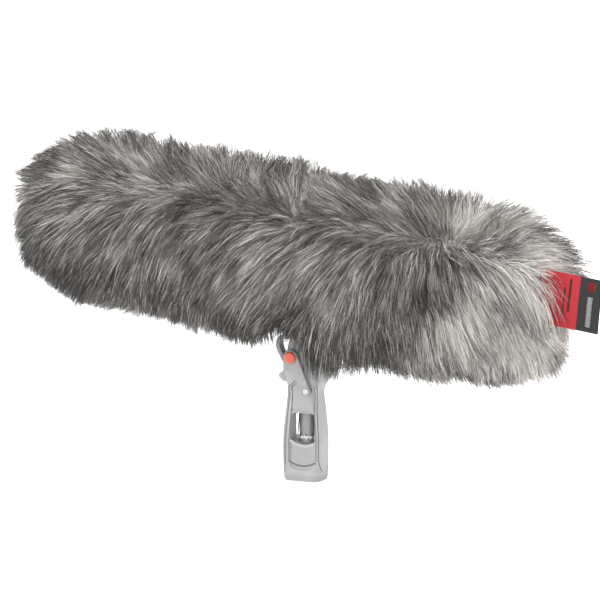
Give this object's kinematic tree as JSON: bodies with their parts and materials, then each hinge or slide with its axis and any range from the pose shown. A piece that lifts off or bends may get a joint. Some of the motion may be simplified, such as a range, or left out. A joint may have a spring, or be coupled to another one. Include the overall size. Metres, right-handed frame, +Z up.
{
  "type": "furry windscreen",
  "caption": "Long-haired fur cover over a caged microphone windshield, on a pistol grip with a lever-locked tilt joint.",
  "frame": {"origin": "centre of the stand thread's mouth, in the grip's foot", "axes": "+Z up the grip, +X towards the tail of the windshield (the microphone points to -X), +Y across the grip"},
  "size_m": [0.5533, 0.1604, 0.2895],
  "materials": {
    "grip_plastic": "fine-grained mid-grey moulding",
    "grip_grain": "sparkle-grained grey panel",
    "grip_dark": "dark grey moulding",
    "soft_dark": "soft grey overmould",
    "soft_pale": "soft pale grey palm pad",
    "steel": "turned steel",
    "screw_dark": "blackened screws",
    "friction": "friction lining",
    "bronze": "sintered bronze bush",
    "lever_grey": "grey glass-filled nylon",
    "button_red": "salmon red, satin",
    "cage_plastic": "black nylon",
    "cage_cloth": "fine acoustic mesh",
    "anodised": "dark anodised bar",
    "lyre_plastic": "springy black thermoplastic",
    "fur": "long grey pile with dark tips",
    "fur_pale": "long pale grey pile",
    "lining": "knitted backing",
    "binding": "woven black tape",
    "elastic": "round elastic",
    "tag_red": "red woven label",
    "tag_black": "black woven label"
  },
  "bodies": {
    "grip": {"shell_left": "grip_plastic", "shell_right": "grip_plastic", "front_overmould": "soft_dark", "palm_overmould": "soft_pale", "inset_panel_left": "grip_grain", "inset_panel_right": "grip_grain", "base_block": "grip_grain", "base_cap": "grip_dark", "thread_tube": "steel", "shell_screws": "screw_dark", "front_guard": "grip_dark", "tilt_bolt": "steel", "tilt_nut": "screw_dark", "friction_disc_left": "friction", "friction_disc_right": "friction", "lever_bush": "bronze"},
    "lever": {"tilt_lever": "lever_grey", "lever_shaft": "steel", "lever_screw": "steel", "button_spring": "steel"},
    "button": {"lever_button": "button_red"},
    "shoe": {"brake_shoe": "friction"},
    "windshield": {"tilt_hub": "cage_plastic", "saddle": "cage_plastic", "saddle_screws": "steel", "cage_tube": "cage_plastic", "front_ring": "cage_plastic", "rear_ring": "cage_plastic", "front_dome": "cage_plastic", "rear_dome": "cage_plastic", "tube_cloth": "cage_cloth", "front_dome_cloth": "cage_cloth", "rear_dome_cloth": "cage_cloth", "suspension_bar": "anodised", "bar_screws": "steel", "fur_nose": "fur", "fur_body": "fur", "fur_rear": "fur_pale", "cover_lining": "lining", "opening_binding": "binding", "hook_tape": "binding", "loop_tape": "binding", "rear_hem": "binding", "rear_elastic": "elastic", "tag_red": "tag_red", "tag_black": "tag_black"},
    "front_suspension": {"front_foot": "lyre_plastic", "front_foot_screw": "steel", "front_lyre": "lyre_plastic", "front_clip": "lyre_plastic"},
    "rear_suspension": {"rear_foot": "lyre_plastic", "rear_foot_screw": "steel", "rear_lyre": "lyre_plastic", "rear_clip": "lyre_plastic"}
  },
  "joints": [
    {"name": "tilt", "type": "hinge", "parent": "grip", "child": "windshield", "pos_m": [0, 0, 0.121], "axis": [0, 1, 0], "range_deg": [-28, 16]},
    {"name": "lever_turn", "type": "hinge", "parent": "grip", "child": "lever", "pos_m": [0.0056, 0, 0.0789], "axis": [0, -1, 0], "range_deg": [0, 62]},
    {"name": "button_press", "type": "slide", "parent": "lever", "child": "button", "axis": [0, 1, 0], "range_m": [0, 0.0012], "stiffness_N_per_m": 500, "springref_m": -0.0012, "deforming": ["button_spring"]},
    {"name": "shoe_slide", "type": "slide", "parent": "grip", "child": "shoe", "axis": [0, 0, -1], "range_m": [0, 0.0007]},
    {"name": "front_suspension_slide", "type": "slide", "parent": "windshield", "child": "front_suspension", "axis": [0.9936, 0, -0.1132], "range_m": [-0.045, 0.045]},
    {"name": "rear_suspension_slide", "type": "slide", "parent": "windshield", "child": "rear_suspension", "axis": [0.9936, 0, -0.1132], "range_m": [-0.04, 0.04]}
  ],
  "couplings": [
    {"joint": "shoe_slide", "follows": "lever_turn", "m_per_rad": 0.00055}
  ]
}
